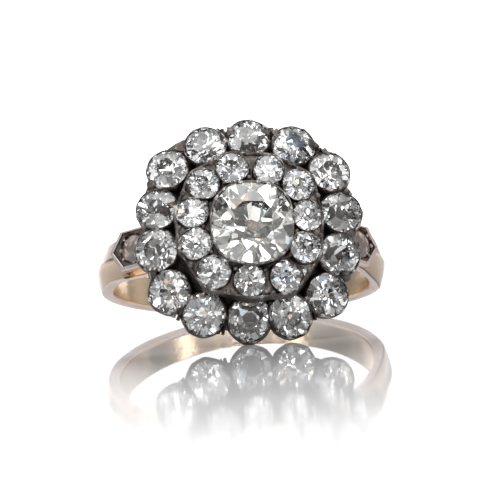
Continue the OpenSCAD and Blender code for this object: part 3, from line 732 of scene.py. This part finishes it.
around = lambda a, b, p: (lambda t: math.hypot(*outline(a, b, p, t)))
floor_ring(web, HEAD, around(4.1, 4.1, 2), around(6.24, 6.34, 2.5), 64, 5, OUTER_N - 0.06, 0.4, 0.12, 5, 0.2)
floor_ring(web, HEAD, around(2.1, 2.1, 2), around(4.75, 4.75, 2.3), 56, 5, INNER_N - 0.38, 0.5, 0.09, 6)

SILVER_PIECE = head.make("cluster_silver", SILVER, 50, wobble=0.045, wobble_size=1.3)
filed.make("cluster_claws", SILVER, 28)
web_piece = web.make("cluster_web", POCKET_LIT, 12)

# open the floors under the stones
holes = Shape()
for row, level, lean, share, grow in ((OUTER, OUTER_N, OUTER_LEAN, 1.0, 0.06), (INNER, INNER_N, INNER_LEAN, 0.86, 0.0)):
    for s in row:
        a, b = s[WIDE] / 2 * share + grow, s[LONG] / 2 * share + grow
        ring = lambda z: [(a * math.cos(2 * math.pi * i / 36), b * math.sin(2 * math.pi * i / 36), z) for i in range(36)]
        points, faces = loft([ring(-1.9 if row is OUTER else -1.2), ring(0.7)])
        holes.add(points, faces, seat(HEAD, s[AZ], s[FAR], level, lean))
cutter = bpy.data.meshes.new("holes")
cutter.from_pydata([tuple(p * MM) for p in holes.points], [], holes.faces)
cutter = bpy.data.objects.new("holes", cutter)
scene.collection.objects.link(cutter)
step = web_piece.modifiers.new("holes", "BOOLEAN")
step.operation, step.solver, step.object = "DIFFERENCE", "EXACT", cutter
bpy.context.view_layer.update()
opened = bpy.data.meshes.new_from_object(web_piece.evaluated_get(bpy.context.evaluated_depsgraph_get()))
web_piece.modifiers.clear()
web_piece.data = opened
bpy.data.objects.remove(cutter)
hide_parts("cluster_setting")

# ------------------------------------------------------------------ gold
hoop = Shape()


def hoop_sides(x, z):
    """How far the hoop reaches below and above the middle of the ring, in the head's face."""
    near_left = np.interp(z, [-FINGER_R, -1.0, 3.0, 6.0], [0.8, 1.3, 1.42, 1.75])
    near_right = np.interp(z, [-FINGER_R, -1.0, 3.0, 6.0], [0.8, 1.3, 1.38, 1.30])
    far = np.interp(z, [-FINGER_R, -1.0, 4.0, 9.0], [1.15, 1.45, 1.42, 1.4])
    return float(np.interp(x, [-4.0, 4.0], [near_left, near_right])), float(far)


n_round = 360
sections, wears_and_shades, stepped = [], [], []


def crest(y, degrees):
    """Radius of the outer face: two flats that meet in a ridge beside the bezels, rounded at the back."""
    arc = HOOP_OUT - CROWN_R + math.sqrt(CROWN_R ** 2 - y * y)
    fall = max(abs(y) - 0.05, 0)
    swell = 0.5 * RIDGE_LOW * fall + 0.5 * (3.0 - math.sqrt(9.0 - fall * fall))
    flat = HOOP_OUT - (swell if y < 0 else RIDGE_HIGH * fall) - 0.004 * (abs(y) < 0.03)
    share = float(np.interp(degrees, [95, 125], [1, 0]))
    return flat * share + arc * (1 - share)


for k in range(n_round):
    t = 2 * math.pi * k / n_round
    degrees = 360 * k / n_round
    right = degrees < 180
    degrees = min(degrees, 360 - degrees)
    near, far = hoop_sides(9.3 * math.sin(t), 9.3 * math.cos(t))
    edge = near
    if right:
        edge = float(np.interp(degrees, [48, 54, 60, 66, 74, 86, 98], [near, 1.30, 1.40, 1.54, 1.60, 1.56, near]))
    high = far - 0.14 * float(np.interp(degrees, [50, 62, 84, 100], [0, 1, 1, 0]))
    # dark is 1 along the right near edge, whose groove gets values below zero: painted shade
    dark = float(np.interp(degrees, [48, 52, 92, 97], [0, 1, 1, 0])) if right else 0.0
    inner = float(np.interp(degrees, [88, 98], [0, 1]))
    step = 0.17
    # the third value is wear; below zero it is painted shade, as along the inner edge of the lower half
    line = [(FINGER_R + 0.015 * inner, -near + step, -0.45 * inner), (FINGER_R, -near + step + 0.035, 0), (FINGER_R, -near * 0.5, 0),
            (FINGER_R, 0, 0), (FINGER_R, far * 0.5, 0), (FINGER_R, far - 0.07, 0.15),
            (FINGER_R + 0.02, far - 0.02, 0.7), (FINGER_R + 0.07, far, 0.5), (crest(high, degrees) - 0.25, high + 0.05, 0.05),
            (crest(high, degrees) - 0.05, high, 0.3), (crest(high - 0.03, degrees) - 0.004, high - 0.03, 0.6), (crest(high - 0.08, degrees), high - 0.08, 0.2)]
    for y in (0.75, 0.5, 0.25):
        line.append((crest(high * y, degrees), high * y, 0.05))
    line += [(crest(0.05, degrees), 0.05, 0.2), (crest(0.0, degrees), 0.0, 0.35), (crest(-0.05, degrees), -0.05, 0.2)]
    for y in (0.25, 0.5, 0.75):
        line.append((crest(-edge * y, degrees), -edge * y, 0.0))
    line += [(crest(-edge + 0.09, degrees), -edge + 0.09, 0.1), (crest(-edge + 0.05, degrees) - 0.004, -edge + 0.045, 0.5 - 0.4 * dark),
             (crest(-edge + 0.02, degrees) - 0.012 - 0.07 * dark, -edge + 0.02, 0.7 - 1.25 * dark),
             (crest(-edge, degrees) - 0.06 - 0.05 * dark, -edge - 0.015 * dark, 0.4 - 0.6 * dark), (crest(-edge, degrees) - 0.18, -edge - 0.02 * dark, 0.1),
             (FINGER_R + 0.14, -near, 0.1), (FINGER_R + 0.10, -near + 0.01, 0.6), (FINGER_R + 0.03 + 0.03 * inner, -near + 0.05, 0.5),
             (FINGER_R + 0.01 + 0.02 * inner, -near + step - 0.03, 0.1)]
    if not right and 36 < degrees < 59.6:
        # a stepped-down floor beside the left bezel, its hollow given values below zero for painted shade
        line[20:26] = [(crest(-1.28, degrees), -1.30, 0.0), (9.07, -1.33, -0.1), (9.07, -near + 0.2, 0.0), (9.10, -near + 0.15, -0.3),
                       (9.16, -near + 0.06, 0.6), (9.14, -near, 0.3)]
        stepped.append(k)
    ring = []
    for r, y, worn in line:
        x, z = r * math.sin(t), r * math.cos(t) + HOOP_RISE * min((r - FINGER_R) / 0.9, 1)
        ring.append((x, y, min(z, FLAT_N - 0.02)))
    sections.append(ring)
    wears_and_shades.extend([worn for _, _, worn in line])
points, faces = loft(sections, closed_along=True)
hoop.add(points, [f[::-1] for f in faces], REST, wears_and_shades)
across = len(sections[0])
# faces by the part of the section that they run along
inside = [k for k in range(len(faces)) if k % across in (0, 1, 2, 3, 4, across - 1, across - 2)]
flanks = [k for k in range(len(faces)) if k % across in (5, 6, 7, 8, 9, 10, 11, 12, 13, 14, across - 3, across - 4, across - 5, across - 6, across - 7)]
inside += [k * across + j for k in stepped for j in (20, 21, 22)]


def hexagon(inset, z, ease, cup=0.0):
    """Twelve points: each corner of the hexagon cut back by ease. cup 0 follows the frame, 1 the opening."""
    l = (BEZEL_LEN / 2) * (1 - cup) + (CUP_LEN / 2) * cup - inset * 1.35
    w = (BEZEL_W / 2) * (1 - cup) + (CUP_W / 2) * cup - inset
    p = BEZEL_POINT - inset * 0.35 - 0.1 * cup
    middle = BEZEL_Y * (1 - cup) + CUP_Y * cup
    corners = [Vector((l, 0)), Vector((l - p, w)), Vector((-l + p, w)), Vector((-l, 0)), Vector((-l + p, -w)), Vector((l - p, -w))]
    ring = []
    for i, c in enumerate(corners):
        for other in (corners[i - 1], corners[(i + 1) % 6]):
            q = c + (other - c).normalized() * ease
            q += Vector((BEZEL_SHIFT, middle))
            ring.append((q.x, q.y, z if z is not None else 8.86 - BEZEL_REACH))
    return ring


for side in (-1, 1):
    rings = [hexagon(0, None, 0.05), hexagon(0, -0.16, 0.05), hexagon(0.015, -0.06, 0.05), hexagon(0.05, 0.0, 0.04),
             hexagon(-0.03, 0.0, 0.03, 1), hexagon(-0.01, -0.02, 0.02, 1), hexagon(0, -0.09, 0.02, 1), hexagon(-0.005, -0.5, 0.02, 1),
             hexagon(0, -1.05, 0.02, 1)]
    worn = [0.0] * 12 + [0.1] * 12 + [0.6] * 12 + [0.45] * 12 + [0.6] * 12 + [0.3] * 12 + [0.0] * 36
    points, faces = loft(rings)
    hoop.add(points, faces, bezel_frame(side), worn)
GOLD_PIECE = hoop.make("hoop_gold", GOLD_SHADED, 15)
GOLD_PIECE.data.materials.append(GOLD_INSIDE_LIT)
GOLD_PIECE.data.materials.append(GOLD_SIDE_LIT)
# the outer face keeps the darker copy as painted shade; the inside, flanks and bezels take the lighter copies as
# painted light
for k in inside:
    GOLD_PIECE.data.polygons[k].material_index = 1
for k in flanks:
    GOLD_PIECE.data.polygons[k].material_index = 2
for k in range(across * n_round, len(GOLD_PIECE.data.polygons)):
    GOLD_PIECE.data.polygons[k].material_index = 2

# grains that hold the shoulder stones in their linings
grains = Shape()
for side in (-1, 1):
    s = SHOULDER[0 if side < 0 else 1]
    chance = random.Random(50 + side)
    for angle, size in ((8, 0.30), (52, 0.20), (110, 0.18), (160, 0.22), (205, 0.2), (262, 0.24), (318, 0.22)):
        t = math.radians(angle + chance.uniform(-8, 8))
        ball(grains, bezel_frame(side) @ move(BEZEL_SHIFT + s[0] + (s[2] / 2 + 0.04) * math.cos(t), CUP_Y + (s[1] / 2 + 0.04) * math.sin(t), -0.17),
             size, chance.uniform(0.3, 1.0), (1, 1, 0.9), 12)
grains.make("shoulder_grains", SILVER, 60)
foil = Shape()
for side in (-1, 1):
    s = SHOULDER[0 if side < 0 else 1]
    rings = [[((s[2] / 2 * k) * math.cos(2 * math.pi * i / 24), (s[1] / 2 * k) * math.sin(2 * math.pi * i / 24), z) for i in range(24)]
             for k, z in ((0.36, -0.975), (0.44, -0.93), (0.985, -0.40), (0.96, -0.385), (0.43, -0.90), (0.33, -0.945))]
    points, faces = loft(rings)
    foil.add(points, faces, bezel_frame(side) @ move(BEZEL_SHIFT + s[0], CUP_Y, 0.02), 0.4)
foil.make("shoulder_foil", FOIL, 60)
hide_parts("shank")

gallery = Shape()
low_n = FINGER_R + 0.05
turned(gallery, [(4.30, low_n), (4.90, low_n), (4.95, low_n + 0.06), (5.66, HEAD_N - 0.1), (5.62, HEAD_N - 0.035), (5.05, HEAD_N - 0.035)], REST, wear_and_shade=0.3)
for side in (-1, 1):
    x = side * 4.62
    lump(gallery, [(x + i, j, k) for i in (-0.33, 0.33) for j in (-1.05, 1.05) for k in (low_n - 0.6, low_n + 0.25)], REST, 0.05, 0.2)
gallery.make("gallery_gold", GOLD_SHADED, 40)

for word in ("left", "right"):
    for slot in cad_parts["shoulder_lining_" + word].material_slots:
        slot.material = LINING

# ------------------------------------------------------------------ floor
mesh = bpy.data.meshes.new("floor")
mesh.from_pydata([(-3, -3, 0), (3, -3, 0), (3, 3, 0), (-3, 3, 0)], [], [(0, 1, 2, 3)])
floor = bpy.data.objects.new("floor", mesh)
scene.collection.objects.link(floor)
mat, n, shader, mm = material("floor_gloss")
shader.inputs["IOR"].default_value = 1.45
far = n.new("ShaderNodeVectorMath", operation="LENGTH")
n.links.new(mm, far.inputs[0])
far = far.outputs["Value"]
pale = n.mix(n.noise(mm, 0.02, 2), (0.93, 0.93, 0.935), (0.955, 0.955, 0.96))
split = n.new("ShaderNodeSeparateXYZ")
n.links.new(mm, split.inputs[0])
# the floor is darker close to the ring and darker still in front of it: painted shade
near = n.mix(n.ramp(split.outputs["Y"], -7, -15), (0.82, 0.80, 0.79), (0.46, 0.46, 0.465))
n.put(n.mix(n.ramp(far, 11, 34), near, pale), shader.inputs["Base Color"])
rough = n.math("ADD", n.ramp(far, 10, 75, 0.008, 0.09), n.math("MULTIPLY", n.noise(mm, 0.3, 2), 0.015))
n.put(rough, shader.inputs["Roughness"])
# the floor glows as painted light: more with distance so the far floor turns white, and in patches beside, under and
# behind the ring that show in the gold
shader.inputs["Emission Color"].default_value = (1, 1, 1, 1)
beside = n.math("MULTIPLY", n.ramp(n.math("ABSOLUTE", split.outputs["X"]), 5.5, 10.5, 0.0, 0.17), n.ramp(far, 12, 26))
under = n.ramp(split.outputs["Y"], -18, -6, 0.0, 0.09)
painted_glow = n.math("MAXIMUM", beside, under)
n.put(n.math("ADD", n.ramp(far, 14, 104, 0.0, 0.72), painted_glow), shader.inputs["Emission Strength"])
mesh.materials.append(mat)
floor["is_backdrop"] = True

# ------------------------------------------------------------------ light
world = bpy.data.worlds.new("studio")
scene.world = world
world.use_nodes = True
n = Nodes(world.node_tree)
n.nodes.clear()
way = n.new("ShaderNodeTexCoord").outputs["Generated"]


def along(azimuth, elevation):
    """Direction towards a lamp: azimuth 0 is in front of the head, 90 to the viewer's right."""
    a, e = math.radians(azimuth), math.radians(elevation)
    return Vector((math.sin(a) * math.cos(e), -math.cos(a) * math.cos(e), math.sin(e)))


def lobe(azimuth, elevation, radius, soft, strength, fire=0.5):
    """A round soft lamp, its edge spread a little by colour. Gives red, green and blue."""
    node = n.new("ShaderNodeVectorMath", operation="DOT_PRODUCT")
    n.links.new(way, node.inputs[0])
    node.inputs[1].default_value = along(azimuth, elevation)
    parts = []
    for shift in (-fire, 0, fire):
        inner = math.cos(math.radians(max(radius + shift - soft / 2, 0.1)))
        outer = math.cos(math.radians(radius + shift + soft / 2))
        parts.append(n.ramp(node.outputs["Value"], outer, inner, 0.0, strength))
    return parts


# columns: azimuth, elevation, radius, softness, strength
LAMPS = [
    (180, 7, 17, 12, 1.3, 0),
    (-141, 12, 20, 16, 0.18, 0),
    (-156, 13, 12, 8, 0.44, 0),
    (141, 12, 20, 16, 0.26, 0),
    (-138, 44, 16, 10, 0.8, 0),
    (138, 44, 16, 10, 0.8, 0),
    (0, 90, 24, 12, 1.8, 0),
    (-48, 34, 30, 44, 0.19, 0),
    (58, 56, 26, 40, 0.33, 0),
    (-58, 36, 8, 3, 2.4, 0.08),
    (60, 30, 7, 3, 2.2, -0.08),
    (10, 50, 6, 2, 2.8, 0.08),
    (-20, 8, 4.5, 1.5, 2.6, -0.08),
    (34, 4, 4.5, 2, 2.4, 0.08),
    (-34, 58, 4.5, 1.5, 3.0, -0.08),
    (36, 62, 4.5, 1.5, 2.8, 0.08),
    (2, 26, 3.5, 1, 3.4, -0.07),
    (-40, 14, 4, 1, 3.4, 0.07),
    (48, 52, 4, 1, 3.4, -0.07),
    (22, 30, 3.5, 1, 3.6, 0.07),
    (-14, 38, 3.5, 1, 3.6, -0.07),
    (-8, -12, 4, 1, 2.6, 0.07),
    (30, 46, 2.5, 1, 3.8, -0.07),
    (-26, 24, 2.5, 1, 3.8, 0.07),
    (44, 18, 3.5, 1, 3.4, -0.07),
    (-52, 60, 3.5, 1, 3.4, 0.07),
    (14, 14, 2.5, 1, 3.8, 0.07),
    (0, 66, 3, 1, 3.4, -0.07),
    (-36, 40, 2, 1, 3.8, 0.07),
    (20, 6, 2, 1, 3.6, -0.07),
    (78, 12, 6, 3, 1.4, 0),
    (-80, 14, 6, 3, 1.4, 0),
    (-100, 8, 12, 8, 0.4, 0),
    (104, 6, 12, 8, 0.4, 0),
]
BASE = 0.115
red, green, blue = BASE * 1.01, BASE, BASE * 0.99
for lamp in LAMPS:
    r, g, b = lobe(*lamp)
    red, green, blue = n.math("ADD", r, red), n.math("ADD", g, green), n.math("ADD", b, blue)
colour = n.new("ShaderNodeCombineColor")
for value, socket in zip((red, green, blue), colour.inputs):
    n.put(value, socket)
lit = n.new("ShaderNodeBackground")
n.links.new(colour.outputs[0], lit.inputs["Color"])
plain = n.new("ShaderNodeBackground")
plain.inputs["Color"].default_value = (1, 1, 1, 1)
plain.inputs["Strength"].default_value = 1.05
ray = n.new("ShaderNodeLightPath").outputs["Is Camera Ray"]
both = n.new("ShaderNodeMixShader")
n.links.new(ray, both.inputs[0])
n.links.new(lit.outputs[0], both.inputs[1])
n.links.new(plain.outputs[0], both.inputs[2])
out = n.new("ShaderNodeOutputWorld")
n.links.new(both.outputs[0], out.inputs["Surface"])

# ------------------------------------------------------------------ camera
tilt = math.radians(14.1)
side = math.radians(-2.8)
to_eye = Vector((math.sin(side), -math.sin(tilt) * math.cos(side), math.cos(tilt) * math.cos(side)))
right = Vector((0, math.cos(tilt), math.sin(tilt))).cross(to_eye).normalized()
up = to_eye.cross(right)
eye = HEAD @ (to_eye * 419.4)
aim = HEAD @ (right * 0.617 + up * 1.508)
back = (eye - aim).normalized()
turned = HEAD.to_3x3()
right = turned @ right
right = (right - back * right.dot(back)).normalized()
up = back.cross(right)
data = bpy.data.cameras.new("camera")
data.sensor_width = 36
data.lens = 440.64
data.clip_start, data.clip_end = 0.02, 20
camera = bpy.data.objects.new("camera", data)
camera.matrix_world = Matrix((
    (right.x, up.x, back.x, eye.x * MM), (right.y, up.y, back.y, eye.y * MM),
    (right.z, up.z, back.z, eye.z * MM), (0, 0, 0, 1)))
scene.collection.objects.link(camera)
scene.camera = camera

scene.view_settings.view_transform = "Standard"
scene.cycles.max_bounces = 20
scene.cycles.transmission_bounces = 20
scene.cycles.glossy_bounces = 16

bpy.context.view_layer.update()
low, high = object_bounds()
